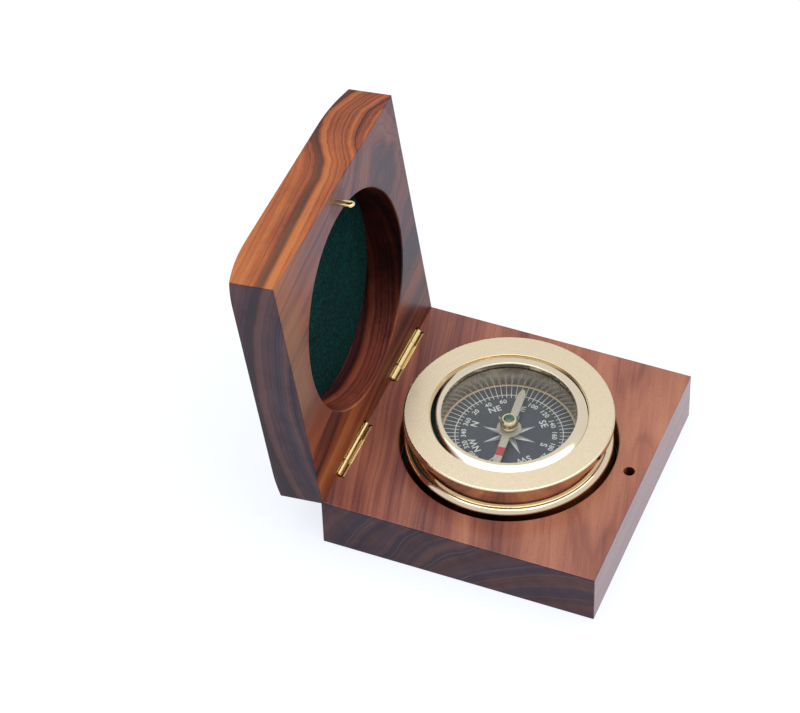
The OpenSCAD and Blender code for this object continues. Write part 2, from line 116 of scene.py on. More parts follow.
table_white = bpy.data.materials.new("table_white")
table_white.use_nodes = True
tree = table_white.node_tree
tree.nodes.clear()
ray = put(tree, "ShaderNodeLightPath").outputs
seen = math_of(tree, "MAXIMUM", ray["Is Camera Ray"], ray["Is Glossy Ray"])
seen = math_of(tree, "MAXIMUM", seen, ray["Is Transmission Ray"])
lit = put(tree, "ShaderNodeBsdfDiffuse", {"Color": opaque(TABLE_GREY)})
lit_seen = put(tree, "ShaderNodeBsdfDiffuse", {"Color": opaque(SEEN_TABLE_GREY)})
glow = put(tree, "ShaderNodeEmission", {"Color": opaque(SEEN_TABLE_LIGHT)})
white = put(tree, "ShaderNodeAddShader", {0: lit_seen.outputs[0], 1: glow.outputs[0]})
both = put(tree, "ShaderNodeMixShader", {0: seen, 1: lit.outputs[0], 2: white.outputs[0]})
put(tree, "ShaderNodeOutputMaterial", {"Surface": both.outputs[0]})

deselect()
bpy.ops.mesh.primitive_plane_add(size=TABLE_SIZE)
table = bpy.context.object
table.name = "table_top"
table.data.materials.append(table_white)

bpy.ops.object.light_add(type="AREA", location=SOFT_BOX_AT)
soft_box = bpy.context.object
soft_box.data.shape = "SQUARE"
soft_box.data.size = SOFT_BOX_SIZE
soft_box.data.energy = SOFT_BOX_WATTS

room = bpy.data.worlds.new("white_room")
bpy.context.scene.world = room
room.use_nodes = True
tree = room.node_tree
tree.nodes.clear()
ray = put(tree, "ShaderNodeLightPath").outputs
mirrored = math_of(tree, "MAXIMUM", ray["Is Glossy Ray"], ray["Is Transmission Ray"])
level = put(tree, "ShaderNodeMapRange", {"Value": mirrored, "To Min": ROOM_LIGHT,
                                         "To Max": ROOM_MIRRORED}).outputs[0]
level = math_of(tree, "MAXIMUM", level, ray["Is Camera Ray"])
light = put(tree, "ShaderNodeBackground", {"Color": opaque(ROOM_WHITE), "Strength": level})
put(tree, "ShaderNodeOutputWorld", {"Surface": light.outputs[0]})


# The box blocks: two pieces of rosewood sawn along the grain, which runs nearly with the
# hinge pins. The recesses are turned, all is sanded, and it has a satin varnish that sits
# thinner in the pores. The end faces drink the varnish and are much darker, and a bluish
# cast of light is painted into the outer ones.
MM = 0.001
WIDE_BENDS, FINE_BENDS = (8, 24), (22, 110)  # per metre along and across the grain
FINE_SWAY = (0, 1.6 * MM, 1.6 * MM)
BANDS, BAND_WEIGHT = 130, 0.62  # growth layers per metre, and how much they show
LINES, LINE_WEIGHT = 900, 0.24
VEINS, VEIN_WEIGHT = 210, -0.10
VEIN_LEVEL, VEIN_WIDTH = 0.53, 0.035
FIBRES, FIBRE_WEIGHT = (50, 1700), 0.17
CLOUDS, CLOUD_WEIGHT = (18, 52), 0.34
STREAKS, STREAK_WEIGHT = (16, 190), 0.24
MIDDLE_TONE = 0.5
WOOD_TONES = (
    (0.26, (0.045, 0.015, 0.019)),
    (0.36, (0.120, 0.036, 0.036)),
    (0.44, (0.220, 0.066, 0.046)),
    (0.52, (0.320, 0.105, 0.062)),
    (0.60, (0.415, 0.150, 0.082)),
    (0.74, (0.540, 0.225, 0.115)),
)
PORES = (420, 1900, 1900)
PORE_STAIN = (0.74, 0.68, 0.68)
PORE_EDGE, PORE_CORE = 0.24, 0.10
VARNISH_ROUGHNESS = 0.36
FIBRE_ROUGHNESS, PORE_ROUGHNESS = 0.12, 0.2
VARNISH_RELIEF, VARNISH_DEPTH = 0.35, 0.06 * MM

# End grain inside a recess is darkened partly for its own tone and partly as painted shade
END_GRAIN_AND_SHADE_STAIN = (0.17, 0.11, 0.14)  # end grain inside a recess
END_LAYERS, END_LAYER_EDGES = 150, (0.36, 0.64)
END_LINES, END_LINE_EDGES = 700, (0.66, 0.74)
END_LINE_PALE, END_LINE_WEIGHT = (0.17, 0.09, 0.07), 0.32
END_FACE = (0.35, 0.95)  # how squarely a face looks along X, from no end grain to all
SQUARE_ON = (0.6, 0.95)  # the same for a face that looks to the front or down
UPRIGHT = (0.6, 0.2)  # how far a face looks up or down, from no wall to a wall
OUTER_END = (49 * MM, 50.3 * MM)  # how far out along X, from not an outer end to one

# The figure that both blocks share: growth layers round the tree's heart, with fibres,
# clouds and streaks along the grain, and open pores
rosewood = bpy.data.node_groups.new("rosewood_figure", "ShaderNodeTree")
for name, kind, value in (("Vector", "NodeSocketVector", None),
                          ("Rings", "NodeSocketFloat", 0.0),
                          ("Sway", "NodeSocketFloat", 0.012),
                          ("Contrast", "NodeSocketFloat", 1.0),
                          ("Light", "NodeSocketFloat", 0.0)):
    socket = rosewood.interface.new_socket(name, in_out="INPUT", socket_type=kind)
    if value is not None:
        socket.default_value = value
for name, kind in (("Color", "NodeSocketColor"), ("Roughness", "NodeSocketFloat"),
                   ("Height", "NodeSocketFloat"), ("Ring", "NodeSocketFloat")):
    rosewood.interface.new_socket(name, in_out="OUTPUT", socket_type=kind)


def vector_of(tree, operation, first, second):
    """One sum on vectors that gives a vector."""
    return put(tree, "ShaderNodeVectorMath", {0: first, 1: second},
               operation=operation).outputs[0]


def length_of(tree, vector):
    """How long a vector is."""
    return put(tree, "ShaderNodeVectorMath", {0: vector}, operation="LENGTH").outputs["Value"]


def slope_of(tree, vector, rise):
    """A value that rises over a metre by as much as the rise says along each axis."""
    return put(tree, "ShaderNodeVectorMath", {0: vector, 1: rise},
               operation="DOT_PRODUCT").outputs["Value"]


def sum_of(tree, *terms):
    """Adds up sockets and numbers."""
    total = terms[0]
    for term in terms[1:]:
        total = math_of(tree, "ADD", total, term)
    return total


def product_of(tree, *factors):
    """Multiplies sockets and numbers."""
    product = factors[0]
    for factor in factors[1:]:
        product = math_of(tree, "MULTIPLY", product, factor)
    return product


def size_of(tree, value):
    """A value without its sign."""
    return math_of(tree, "ABSOLUTE", value)


def centred(tree, value, amount):
    """A noise value moved round zero and given its weight."""
    return math_of(tree, "MULTIPLY_ADD", value, amount, -0.5 * amount)


def faded(tree, value, low, high, to_low=0.0, to_high=1.0):
    """A value eased from one level to another between two thresholds."""
    return put(tree, "ShaderNodeMapRange", {"Value": value, "From Min": low, "From Max": high,
                                            "To Min": to_low, "To Max": to_high},
               interpolation_type="SMOOTHSTEP").outputs[0]


def tinted(tree, factor, first, second, blend="MIX"):
    """Two colours mixed; each is a socket or a plain colour."""
    first, second = (opaque(colour) if isinstance(colour, tuple) else colour
                     for colour in (first, second))
    return put(tree, "ShaderNodeMix", {0: factor, 6: first, 7: second},
               data_type="RGBA", blend_type=blend).outputs[2]


def stained(tree, factor, colour, stain):
    """A colour multiplied by a stain as far as the factor says."""
    return tinted(tree, factor, colour, stain, "MULTIPLY")


def ramp(tree, value, stops):
    """A colour ramp with its stops as (place, colour)."""
    node = put(tree, "ShaderNodeValToRGB", {0: value})
    bar = node.color_ramp
    for place, _ in stops[2:]:
        bar.elements.new(place)
    for element, (place, colour) in zip(bar.elements, stops):
        element.position = place
        element.color = opaque(colour)
    return node.outputs[0]


def noise_of(tree, vector, scale, detail=2, roughness=0.5, gives=0):
    """A noise; its scale is one number, or one along and one across the grain."""
    if isinstance(scale, tuple):
        vector = vector_of(tree, "MULTIPLY", vector, (scale[0], scale[1], scale[1]))
        scale = 1
    return put(tree, "ShaderNodeTexNoise", {"Vector": vector, "Scale": scale, "Detail": detail,
                                            "Roughness": roughness}).outputs[gives]


def push_of(tree, vector, scale, reach, detail=2):
    """A push in an uneven direction, at most half the reach either way."""
    push = noise_of(tree, vector, scale, detail, gives="Color")
    push = vector_of(tree, "SUBTRACT", push, (0.5, 0.5, 0.5))
    return vector_of(tree, "MULTIPLY", push, reach)


def layers_of(tree, depth, scale, detail=3, roughness=0.6):
    """A noise that changes only with one depth, from one layer to the next."""
    return put(tree, "ShaderNodeTexNoise", {"W": depth, "Scale": scale, "Detail": detail,
                                            "Roughness": roughness},
               noise_dimensions="1D").outputs[0]


tree = rosewood
given = put(tree, "NodeGroupInput").outputs
grain = given["Vector"]
sway = put(tree, "ShaderNodeCombineXYZ", {1: given["Sway"], 2: given["Sway"]}).outputs[0]
bent = vector_of(tree, "ADD", grain, push_of(tree, grain, WIDE_BENDS, sway))
bent = vector_of(tree, "ADD", bent, push_of(tree, grain, FINE_BENDS, FINE_SWAY))
radius = length_of(tree, vector_of(tree, "MULTIPLY", bent, (0, 1, 1)))
ring = sum_of(tree, radius, given["Rings"])
bands = layers_of(tree, ring, BANDS)
lines = layers_of(tree, ring, LINES)
veins = sum_of(tree, layers_of(tree, ring, VEINS, detail=1), -VEIN_LEVEL)
veins = faded(tree, size_of(tree, veins), VEIN_WIDTH, 0.0)
fibres = noise_of(tree, grain, FIBRES, 3, 0.6)
clouds = noise_of(tree, grain, CLOUDS, 3)
streaks = noise_of(tree, grain, STREAKS)
layered = sum_of(tree, centred(tree, bands, BAND_WEIGHT), centred(tree, lines, LINE_WEIGHT),
                 product_of(tree, veins, VEIN_WEIGHT))
tone = sum_of(tree, product_of(tree, layered, given["Contrast"]),
              centred(tree, fibres, FIBRE_WEIGHT), centred(tree, clouds, CLOUD_WEIGHT),
              centred(tree, streaks, STREAK_WEIGHT), given["Light"], MIDDLE_TONE)
cells = put(tree, "ShaderNodeTexVoronoi", {"Vector": vector_of(tree, "MULTIPLY", grain, PORES),
                                           "Scale": 1})
pores = faded(tree, cells.outputs["Distance"], PORE_EDGE, PORE_CORE)
colour = stained(tree, pores, ramp(tree, tone, WOOD_TONES), PORE_STAIN)
roughness = sum_of(tree, VARNISH_ROUGHNESS, centred(tree, fibres, FIBRE_ROUGHNESS),
                   product_of(tree, pores, PORE_ROUGHNESS))
height = math_of(tree, "SUBTRACT", centred(tree, fibres, 0.5), pores)
put(tree, "NodeGroupOutput", {"Color": colour, "Roughness": roughness, "Height": height,
                              "Ring": ring})


def finish_of(name):
    """A new material: itself, its tree, its shader and its place on the piece."""
    material = bpy.data.materials.new(name)
    material.use_nodes = True
    tree = material.node_tree
    shader = tree.nodes["Principled BSDF"]
    place = put(tree, "ShaderNodeTexCoord").outputs["Object"]
    return material, tree, shader, place


def wear(tree, shader, height, strength, distance):
    """Raises a surface's fine relief from a height."""
    bump = put(tree, "ShaderNodeBump", {"Height": height, "Strength": strength,
                                        "Distance": distance})
    tree.links.new(bump.outputs[0], shader.inputs["Normal"])


def rosewood_finish(name, location, rotation, heart, skew):
    """Varnished rosewood, with its figure, its grain and its place in the shut box."""
    material, tree, shader, place = finish_of(name)
    laid = put(tree, "ShaderNodeMapping", {"Vector": place, "Location": location,
                                           "Rotation": rotation}).outputs[0]
    grain = put(tree, "ShaderNodeMapping", {"Vector": laid, "Rotation": (0, 0, skew),
                                            "Location": (0, -heart[0], -heart[1])})
    figure = put(tree, "ShaderNodeGroup", node_tree=rosewood)
    tree.links.new(grain.outputs[0], figure.inputs["Vector"])
    tree.links.new(figure.outputs["Roughness"], shader.inputs["Roughness"])
    wear(tree, shader, figure.outputs["Height"], VARNISH_RELIEF, VARNISH_DEPTH)
    shader.inputs["Specular IOR Level"].default_value = 0.27
    shader.inputs["Coat Roughness"].default_value = 0.16
    return material, tree, shader, figure, grain, laid


def faces_of(tree, laid, rotation):
    """Where the end grain is, where the outer ends are, how a face looks and where it is."""
    normal = put(tree, "ShaderNodeTexCoord").outputs["Normal"]
    normal = put(tree, "ShaderNodeMapping", {"Vector": normal, "Rotation": rotation},
                 vector_type="NORMAL").outputs[0]
    looks = put(tree, "ShaderNodeSeparateXYZ", {0: normal}).outputs
    place = put(tree, "ShaderNodeSeparateXYZ", {0: laid}).outputs
    end_grain = faded(tree, size_of(tree, looks[0]), *END_FACE)
    outer = faded(tree, size_of(tree, place[0]), *OUTER_END)
    return end_grain, product_of(tree, end_grain, outer), looks, place


def outer_end(tree, figure, colour, brown, blue):
    """The varnished outer ends: brown layers, blue-black layers and thin pale lines; their blue
    is partly painted bluish light.
    """
    layer = layers_of(tree, figure.outputs["Ring"], END_LAYERS, detail=2)
    shade = tinted(tree, faded(tree, layer, *END_LAYER_EDGES), brown, blue)
    colour = tinted(tree, 1.0, colour, shade, "MULTIPLY")
    line = layers_of(tree, figure.outputs["Ring"], END_LINES, detail=1)
    line = product_of(tree, faded(tree, line, *END_LINE_EDGES), END_LINE_WEIGHT)
    return tinted(tree, line, colour, END_LINE_PALE)


def dress(node, material):
    """Gives a CAD node its finish."""
    frame["nodes"][node].material_slots[0].material = material


# The base: a block of quiet, straight-grained wood that is lightest at the front. Its end
# grain takes up the varnish. Its front face has more coat and a painted bluish sheen.
BASE_HEART = (-45 * MM, -47 * MM)  # where the tree's heart passes, in Y and Z
BASE_SKEW = math.radians(-14)
BASE_RINGS = 31 * MM  # how much older its layers are than their distance from the heart
BASE_CONTRAST = 0.5
BASE_SLOPE, BASE_LIGHT = (0.25, -1.1, 0), 0.035
BASE_STAIN = (0.97, 0.96, 1.06)
# Outer end colours; their blue cast is painted bluish light on the end faces
BASE_END_BROWN, BASE_END_BLUE = (0.28, 0.30, 0.55), (0.11, 0.16, 0.62)
BASE_FRONT = (-48.5 * MM, -49.5 * MM)  # the Y between which the front face begins
# A cool sheen painted into the front face's colour, and how much of it
BASE_FRONT_PAINTED_SHEEN, BASE_FRONT_SHEEN_WEIGHT = (0.13, 0.10, 0.20), 0.42
BASE_COAT, BASE_FRONT_COAT = 0.4, 0.04  # the end grain has none

base_wood, tree, shader, figure, grain, laid = rosewood_finish(
    "base_rosewood", (0, 0, 0), (0, 0, 0), BASE_HEART, BASE_SKEW)
end_grain, outer_ends, looks, place = faces_of(tree, laid, (0, 0, 0))
figure.inputs["Rings"].default_value = BASE_RINGS
figure.inputs["Contrast"].default_value = BASE_CONTRAST
tree.links.new(sum_of(tree, slope_of(tree, laid, BASE_SLOPE), BASE_LIGHT),
               figure.inputs["Light"])
front = product_of(tree, faded(tree, product_of(tree, looks[1], -1.0), *SQUARE_ON),
                   faded(tree, place[1], *BASE_FRONT))
colour = stained(tree, 1.0, figure.outputs["Color"], BASE_STAIN)
# End grain darkened, partly its own tone and partly painted shade in the recess
colour = stained(tree, end_grain, colour, END_GRAIN_AND_SHADE_STAIN)
ends = outer_end(tree, figure, figure.outputs["Color"], BASE_END_BROWN, BASE_END_BLUE)
colour = tinted(tree, outer_ends, colour, ends)
# Painted sheen: the front face's colour is tinted bluish in place of its reflection
colour = tinted(tree, product_of(tree, front, BASE_FRONT_SHEEN_WEIGHT), colour, BASE_FRONT_PAINTED_SHEEN)
tree.links.new(colour, shader.inputs["Base Color"])
coat = sum_of(tree, BASE_COAT, product_of(tree, end_grain, -BASE_COAT),
              product_of(tree, front, BASE_FRONT_COAT))
tree.links.new(coat, shader.inputs["Coat Weight"])
dress("base_block", base_wood)

# The lid: its mesh stands open, so its pattern is turned shut about the hinge first. Its
# grain swells round a small knot near the front right corner, under one dark layer.
LID_HEART = (0, -115 * MM)
LID_SKEW = math.radians(9)
LID_SWAY = 3 * MM
LID_CONTRAST = 1.05
LID_SLOPE, LID_LIGHT = (-1.5, -1.25, 0), -0.005
LID_STAIN = (1.08, 0.84, 0.46)
# Outer end colours; their blue cast is painted bluish light on the end faces
LID_END_BROWN, LID_END_BLUE = (0.26, 0.36, 1.25), (0.11, 0.24, 1.55)
LID_FACE = (22 * MM, 21 * MM)  # the Z between which its mating face begins
LID_COAT = 0.08
KNOT_AT = (33 * MM, -38 * MM, 0)
KNOT_REACH, KNOT_EDGE = (12 * MM, 21 * MM), 2.4  # along X and Y; its edge in reaches
KNOT_SWELL, KNOT_SHADE = 11 * MM, -0.02
KNOT_WARP, KNOT_WARP_SPREAD = (12 * MM, 20 * MM, 0), (75, 75, 22.5)
DARK_LAYER, DARK_HALF = 151.8 * MM, 1.4 * MM  # its distance from the heart, half its width
DARK_STAIN = (0.34, 0.38, 0.52)
# Painted sheen: a bluish tint on the mating face away from the hinge, in place of its reflection
PAINTED_SHEEN_Y, PAINTED_SHEEN_X = (40 * MM, 10 * MM), (-48 * MM, -10 * MM)  # bluish, on the mating face
PAINTED_SHEEN_TINT = (0.72, 0.78, 1.5)
PAINTED_SHEEN_BLUE, PAINTED_SHEEN_WEIGHT = (0.055, 0.050, 0.120), 0.32
PALE_X = (-34 * MM, -45 * MM)  # a pale patch at the left end
PALE_MIDDLE_Y, PALE_Y = -12 * MM, (34 * MM, 12 * MM)
PALE_TONE, PALE_WEIGHT = (0.33, 0.20, 0.14), 0.5
TURNED_RADII = (42.5 * MM, 40.5 * MM)  # the wall of the recess
# Painted sheen: a bluish tint on the turned wall of the recess
TURNED_WALL_SHEEN = (0.96, 0.92, 1.5)
ROOT_RADII = (7.0 * MM, 4.2 * MM)  # the stain round the catch's two legs
ROOT_STAIN = (0.75, 0.36, 0.30)

lid_hinge = next(joint for joint in frame["joints"] if joint["name"] == "lid_hinge")
lid_open = math.radians(lid_hinge["range_deg"][1])
swing = Matrix.Rotation(lid_open, 3, "X")
pin = Vector(lid_hinge["pos_m"])
lid_wood, tree, shader, figure, grain, laid = rosewood_finish(
    "lid_rosewood", pin - swing @ pin, (lid_open, 0, 0), LID_HEART, LID_SKEW)
end_grain, outer_ends, looks, place = faces_of(tree, laid, (lid_open, 0, 0))
figure.inputs["Sway"].default_value = LID_SWAY
figure.inputs["Contrast"].default_value = LID_CONTRAST

warp = push_of(tree, vector_of(tree, "MULTIPLY", laid, KNOT_WARP_SPREAD), 1, KNOT_WARP, 3)
from_knot = vector_of(tree, "SUBTRACT", vector_of(tree, "ADD", laid, warp), KNOT_AT)
from_knot = vector_of(tree, "MULTIPLY", from_knot,
                      (1 / KNOT_REACH[0], 1 / KNOT_REACH[1], 0))
knot = faded(tree, length_of(tree, from_knot), KNOT_EDGE, 0.0)
swell = put(tree, "ShaderNodeCombineXYZ", {2: product_of(tree, knot, KNOT_SWELL)}).outputs[0]
tree.links.new(vector_of(tree, "SUBTRACT", laid, swell), grain.inputs["Vector"])

inner_face = product_of(tree, faded(tree, product_of(tree, looks[2], -1.0), *SQUARE_ON),
                        faded(tree, place[2], *LID_FACE))
shade = product_of(tree, knot, inner_face, KNOT_SHADE)
tree.links.new(sum_of(tree, slope_of(tree, laid, LID_SLOPE), shade, LID_LIGHT),
               figure.inputs["Light"])
colour = stained(tree, 1.0, figure.outputs["Color"], LID_STAIN)

dark = sum_of(tree, figure.outputs["Ring"], -DARK_LAYER)
dark = faded(tree, size_of(tree, dark), DARK_HALF * 1.7, DARK_HALF * 0.4)
colour = stained(tree, dark, colour, DARK_STAIN)

# Painted sheen: the mating face away from the hinge is tinted blue-purple in its colour
painted_sheen = product_of(tree, inner_face, faded(tree, place[1], *PAINTED_SHEEN_Y),
                   faded(tree, place[0], *PAINTED_SHEEN_X, 0.4, 1.0))
colour = stained(tree, painted_sheen, colour, PAINTED_SHEEN_TINT)
colour = tinted(tree, product_of(tree, painted_sheen, PAINTED_SHEEN_WEIGHT), colour, PAINTED_SHEEN_BLUE)

off_middle = size_of(tree, sum_of(tree, place[1], -PALE_MIDDLE_Y))
pale = product_of(tree, faded(tree, place[0], *PALE_X), faded(tree, off_middle, *PALE_Y),
                  inner_face, PALE_WEIGHT)
colour = tinted(tree, pale, colour, PALE_TONE)

from_middle = length_of(tree, vector_of(tree, "MULTIPLY", laid, (1, 1, 0)))
turned_wall = product_of(tree, faded(tree, from_middle, *TURNED_RADII),
                         faded(tree, size_of(tree, looks[2]), *UPRIGHT))
# Painted sheen: the recess wall's colour is made bluer
colour = stained(tree, turned_wall, colour, TURNED_WALL_SHEEN)

loop_low, loop_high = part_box("catch_loop")
loop_shut = pin + swing @ ((loop_low + loop_high) / 2 - pin)
root = faded(tree, length_of(tree, vector_of(tree, "SUBTRACT", laid, loop_shut)), *ROOT_RADII)
colour = stained(tree, product_of(tree, root, inner_face), colour, ROOT_STAIN)

ends = outer_end(tree, figure, colour, LID_END_BROWN, LID_END_BLUE)
# End grain darkened, partly its own tone and partly painted shade in the recess
colour = tinted(tree, outer_ends, stained(tree, end_grain, colour, END_GRAIN_AND_SHADE_STAIN), ends)
tree.links.new(colour, shader.inputs["Base Color"])
shader.inputs["Coat Weight"].default_value = LID_COAT
dress("lid_block", lid_wood)


# The felt: green wool felt, pressed dense, punched into discs and glued flat to the floor
# of each recess and under the foot of the compass.
FELT_RINGS = 44
FELT_SIDES = 192
RECESS_FELT_T, FOOT_FELT_T = 0.9 * MM, 1.0 * MM
BASE_FELT_R, LID_FELT_R, FOOT_FELT_R = 38.0 * MM, 38.45 * MM, 34.0 * MM
FELT_EDGE = 0.3 * MM  # how far the cut edge is rounded
FELT_FLUFF, FLUFF_SPREAD = 0.09 * MM, 1.6 * MM
FELT_GREENS = ((0.36, (0.0010, 0.016, 0.016)), (0.52, (0.0020, 0.035, 0.033)),
               (0.68, (0.006, 0.068, 0.062)))
LINT_GREEN, LINT_WEIGHT = (0.015, 0.09, 0.08), 0.3

felt_green, tree, shader, place = finish_of("felt_green")
tufts = noise_of(tree, place, 900, 4, 0.7)
patches = noise_of(tree, place, 60, 3)
wool = sum_of(tree, tufts, centred(tree, patches, 0.25))
specks = put(tree, "ShaderNodeTexVoronoi", {"Vector": place, "Scale": 420})
lint = faded(tree, specks.outputs["Distance"], 0.16, 0.06)
colour = tinted(tree, product_of(tree, lint, LINT_WEIGHT), ramp(tree, wool, FELT_GREENS),
                LINT_GREEN)
tree.links.new(colour, shader.inputs["Base Color"])
shader.inputs["Roughness"].default_value = 0.95
shader.inputs["Specular IOR Level"].default_value = 0.04
shader.inputs["Sheen Weight"].default_value = 0.02
shader.inputs["Sheen Roughness"].default_value = 0.5
wear(tree, shader, wool, 0.9, 0.3 * MM)

fluff = bpy.data.textures.new("felt_fluff", "CLOUDS")
fluff.noise_scale = FLUFF_SPREAD
fluff.noise_depth = 2


def alone(*pieces):
    """Selects these pieces and no other, the first one active."""
    deselect()
    for piece in pieces:
        piece.select_set(True)
    bpy.context.view_layer.objects.active = pieces[0]


def in_edit(piece):
    """Enters edit mode with all of the piece selected."""
    alone(piece)
    bpy.ops.object.mode_set(mode="EDIT")
    bpy.ops.mesh.select_mode(type="FACE")
    bpy.ops.mesh.select_all(action="SELECT")


def out_of_edit(piece, name):
    """Leaves edit mode and settles the piece at the origin."""
    bpy.ops.object.mode_set(mode="OBJECT")
    piece.name = name
    bpy.ops.object.transform_apply(location=True, rotation=True, scale=True)


def modify(piece, kind, **settings):
    """Adds a modifier and applies it."""
    alone(piece)
    modifier = piece.modifiers.new(kind.lower(), kind)
    for name, value in settings.items():
        setattr(modifier, name, value)
    bpy.ops.object.modifier_apply(modifier=modifier.name)


def felt_disc(name, node, radius, thickness, body, turn):
    """A punched disc of felt, made flat and then laid where its node is."""
    deselect()
    bpy.ops.mesh.primitive_circle_add(vertices=FELT_SIDES, radius=radius, fill_type="NGON")
    disc = bpy.context.object
    in_edit(disc)
    for _ in range(FELT_RINGS):
        bpy.ops.mesh.inset(thickness=radius / (FELT_RINGS + 1))
    out_of_edit(disc, name)
    flat = thickness - FELT_FLUFF
    modify(disc, "SOLIDIFY", thickness=flat, offset=1)
    modify(disc, "BEVEL", width=FELT_EDGE, segments=3, limit_method="ANGLE")
    modify(disc, "DISPLACE", texture=fluff, texture_coords="LOCAL", strength=FELT_FLUFF,
           mid_level=0.5)
    bpy.ops.object.shade_smooth()
    disc.data.materials.append(felt_green)

    low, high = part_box(node)
    up = Matrix.Rotation(turn, 3, "X") @ Vector((0, 0, 1))
    disc.rotation_euler = (turn, 0, 0)
    disc.location = (low + high) / 2 - up * flat / 2
    bpy.ops.object.transform_apply(location=True, rotation=True, scale=True)
    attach(disc, body)
    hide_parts(node)


felt_disc("base_felt_disc", "base_felt", BASE_FELT_R, RECESS_FELT_T, "base", 0)
felt_disc("lid_felt_disc", "lid_felt", LID_FELT_R, RECESS_FELT_T, "lid",
          -lid_open)
felt_disc("foot_felt_disc", "compass_felt_pad", FOOT_FELT_R, FOOT_FELT_T, "compass",
          0)


# The brass: the hinges and the catch are drawn stock, tumbled bright; the compass is
# turned from bar, with fine tool rings on the flange and polished rims. All of it has
# small scratches and a faint tarnish.
SCRATCH_DEPTH = 0.02 * MM

brass_wear = bpy.data.node_groups.new("brass_wear", "ShaderNodeTree")
brass_wear.interface.new_socket("Vector", in_out="INPUT", socket_type="NodeSocketVector")
for name in ("Tarnish", "Scratches", "Mottle"):
    brass_wear.interface.new_socket(name, in_out="OUTPUT", socket_type="NodeSocketFloat")
tree = brass_wear
given = put(tree, "NodeGroupInput").outputs["Vector"]
cloud = noise_of(tree, given, 130, 4, 0.65)
scratch = put(tree, "ShaderNodeTexNoise", {"Vector": given, "Scale": 2600, "Detail": 2,
                                           "Distortion": 1.5}).outputs[0]
mottle = noise_of(tree, given, 480, 3)
put(tree, "NodeGroupOutput", {"Tarnish": faded(tree, cloud, 0.60, 0.86),
                              "Scratches": scratch, "Mottle": mottle})


def brass_finish(name, bright, tarnished, roughness, relief=0.0):
    """Bright brass with wear; returns what finish_of does, its colour and its roughness."""
    material, tree, shader, place = finish_of(name)
    worn = put(tree, "ShaderNodeGroup", node_tree=brass_wear)
    tree.links.new(place, worn.inputs[0])
    colour = tinted(tree, worn.outputs["Tarnish"], bright, tarnished)
    rough = sum_of(tree, roughness, centred(tree, worn.outputs["Mottle"], 0.08),
                   centred(tree, worn.outputs["Scratches"], 0.04))
    tree.links.new(colour, shader.inputs["Base Color"])
    tree.links.new(rough, shader.inputs["Roughness"])
    shader.inputs["Metallic"].default_value = 1.0
    if relief:
        wear(tree, shader, worn.outputs["Scratches"], relief, SCRATCH_DEPTH)
    return material, tree, shader, place, colour, rough


hinge_brass = brass_finish("hinge_brass", (0.96, 0.76, 0.38), (0.76, 0.52, 0.22), 0.25,
                           relief=0.06)[0]
for node in ("base_hinge_leaf_left", "base_hinge_leaf_right", "base_hinge_tacks",
             "lid_hinge_leaf_left", "lid_hinge_leaf_right", "lid_hinge_tacks",
             "hinge_pin_left", "hinge_pin_right"):
    dress(node, hinge_brass)

catch_brass = brass_finish("catch_brass", (0.86, 0.72, 0.38), (0.70, 0.50, 0.20), 0.14,
                           relief=0.2)[0]
dress("catch_loop", catch_brass)


# The compass body: one turned brass spool with a satin flange, its rims, waist and foot
# polished and lacquered. The bezel screws into it and is polished too. The wall ring between
# the dial and the glass is polished, with faint upright streaks painted in as reflections.
FLANGE_DEPTHS = (0.06 * MM, 0.02 * MM)  # below its top, where the satin begins and is full
TOOL_RINGS = 6000  # per metre
TOOL_DEPTH, TOOL_ROUGHNESS = 0.01 * MM, 0.16
WALL_STREAK_REFLECTION = (0.86, 0.84, 0.80)

body_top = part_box("compass_body")[1].z
body_brass, tree, shader, place, _, rough = brass_finish(
    "compass_brass", (0.80, 0.675, 0.485), (0.71, 0.57, 0.37), 0.10)
above = put(tree, "ShaderNodeSeparateXYZ", {0: place}).outputs[2]
on_top = faded(tree, above, *(body_top - depth for depth in FLANGE_DEPTHS))
from_middle = length_of(tree, vector_of(tree, "MULTIPLY", place, (1, 1, 0)))
tool_rings = layers_of(tree, from_middle, TOOL_RINGS, detail=2, roughness=0.5)
wear(tree, shader, product_of(tree, on_top, tool_rings), 0.30, TOOL_DEPTH)
tree.links.new(sum_of(tree, rough, product_of(tree, on_top, TOOL_ROUGHNESS)),
               shader.inputs["Roughness"])
dress("compass_body", body_brass)

bezel_brass = brass_finish("bezel_brass", (0.82, 0.71, 0.54), (0.73, 0.60, 0.42), 0.12)[0]
dress("bezel_ring", bezel_brass)

wall_brass, tree, shader, place, colour, _ = brass_finish(
    "wall_brass", (0.98, 0.81, 0.60), (0.92, 0.75, 0.54), 0.24)
# Painted reflection: faint upright streaks darken the wall ring's colour
mirrored_streaks = noise_of(tree, vector_of(tree, "MULTIPLY", place, (1, 1, 0)), 900)
tree.links.new(stained(tree, faded(tree, mirrored_streaks, 0.62, 0.38), colour, WALL_STREAK_REFLECTION),
               shader.inputs["Base Color"])
dress("dial_wall_ring", wall_brass)


# The glass: a flat disc cut from clear sheet glass. It lies on the wall ring and is held
# there by the bezel. Light falls through it to the dial without a shadow.
clear_glass, tree, shader, place = finish_of("clear_glass")
shader.inputs["Base Color"].default_value = (0.97, 0.99, 0.98, 1)
shader.inputs["Roughness"].default_value = 0.0
shader.inputs["IOR"].default_value = 1.38
shader.inputs["Transmission Weight"].default_value = 1.0
ray = put(tree, "ShaderNodeLightPath").outputs
lets_light = math_of(tree, "MAXIMUM", ray["Is Shadow Ray"], ray["Is Diffuse Ray"])
through = put(tree, "ShaderNodeBsdfTransparent", {"Color": (0.95, 0.97, 0.96, 1)})
both = put(tree, "ShaderNodeMixShader", {0: lets_light, 1: shader.outputs[0],
                                         2: through.outputs[0]})
tree.links.new(both.outputs[0], tree.nodes["Material Output"].inputs["Surface"])
dress("cover_glass", clear_glass)


